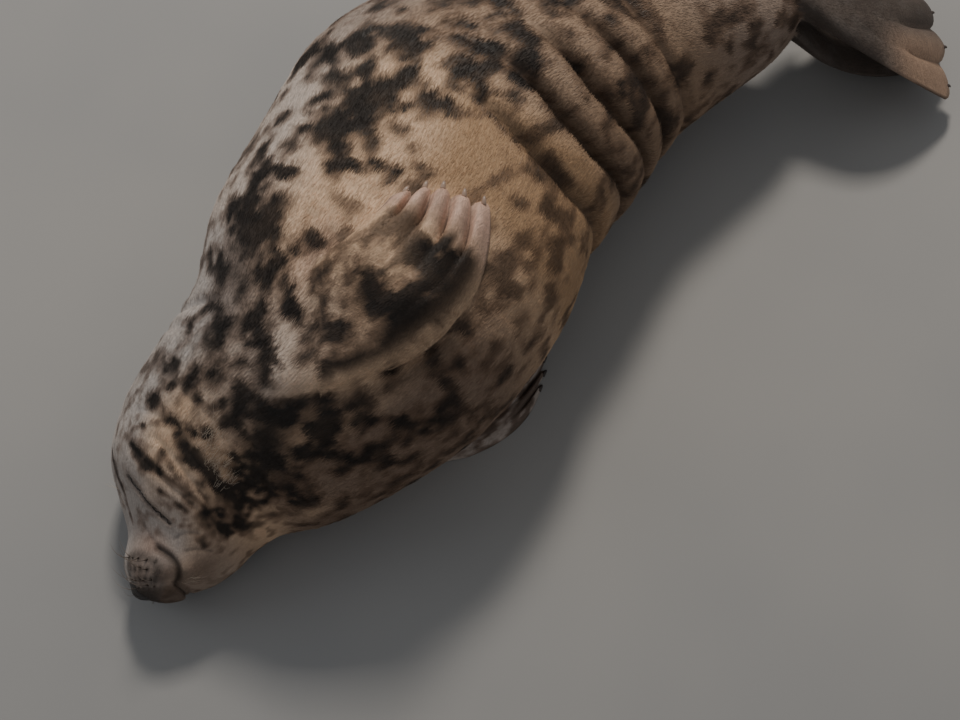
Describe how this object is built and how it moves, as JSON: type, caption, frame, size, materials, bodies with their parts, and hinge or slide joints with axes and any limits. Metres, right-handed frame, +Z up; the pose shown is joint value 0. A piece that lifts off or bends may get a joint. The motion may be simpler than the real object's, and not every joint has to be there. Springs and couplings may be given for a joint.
{
  "type": "life-size young grey seal model",
  "caption": "Still, life-size young grey seal asleep on its right side: plump spindle body with folded loin skin, short neck, flippers, claws and a flat tail. Rests on the floor.",
  "frame": {"origin": "centre of the body's outline in plan, at the level of the floor it lies on", "axes": "+X towards the tail along the body's length, +Y towards the side of the animal's back, +Z up, out of its left flank"},
  "size_m": [1.141, 0.4384, 0.299],
  "materials": {
    "hide": "short flat fur over skin, cream and tan with dark brown blotches",
    "dark_hide": "short flat fur over skin, dark brown and grey",
    "pale_hide": "short flat fur over skin, cream to pale pinkish tan",
    "lid": "furred closed lids with a dark slit",
    "nose_skin": "bare, finely pebbled, slightly damp dark skin",
    "horn": "smooth dark horn"
  },
  "bodies": {
    "root": {"head": "hide", "lower_jaw": "hide", "nose": "nose_skin", "eye_left": "lid", "eye_right": "lid", "neck": "dark_hide", "chest": "hide", "belly": "pale_hide", "loin": "hide", "rump": "pale_hide", "tail": "dark_hide", "fore_flipper_left": "pale_hide", "fore_flipper_right": "dark_hide", "hind_flipper_left": "pale_hide", "hind_flipper_right": "dark_hide", "claw_fore_left_1": "horn", "claw_fore_left_2": "horn", "claw_fore_left_3": "horn", "claw_fore_left_4": "horn", "claw_fore_left_5": "horn", "claw_fore_right_1": "horn", "claw_fore_right_2": "horn", "claw_fore_right_3": "horn", "claw_fore_right_4": "horn", "claw_fore_right_5": "horn", "claw_hind_left_1": "horn", "claw_hind_left_2": "horn", "claw_hind_left_3": "horn", "claw_hind_left_4": "horn", "claw_hind_left_5": "horn", "claw_hind_right_1": "horn", "claw_hind_right_2": "horn", "claw_hind_right_3": "horn", "claw_hind_right_4": "horn", "claw_hind_right_5": "horn"}
  },
  "joints": []
}
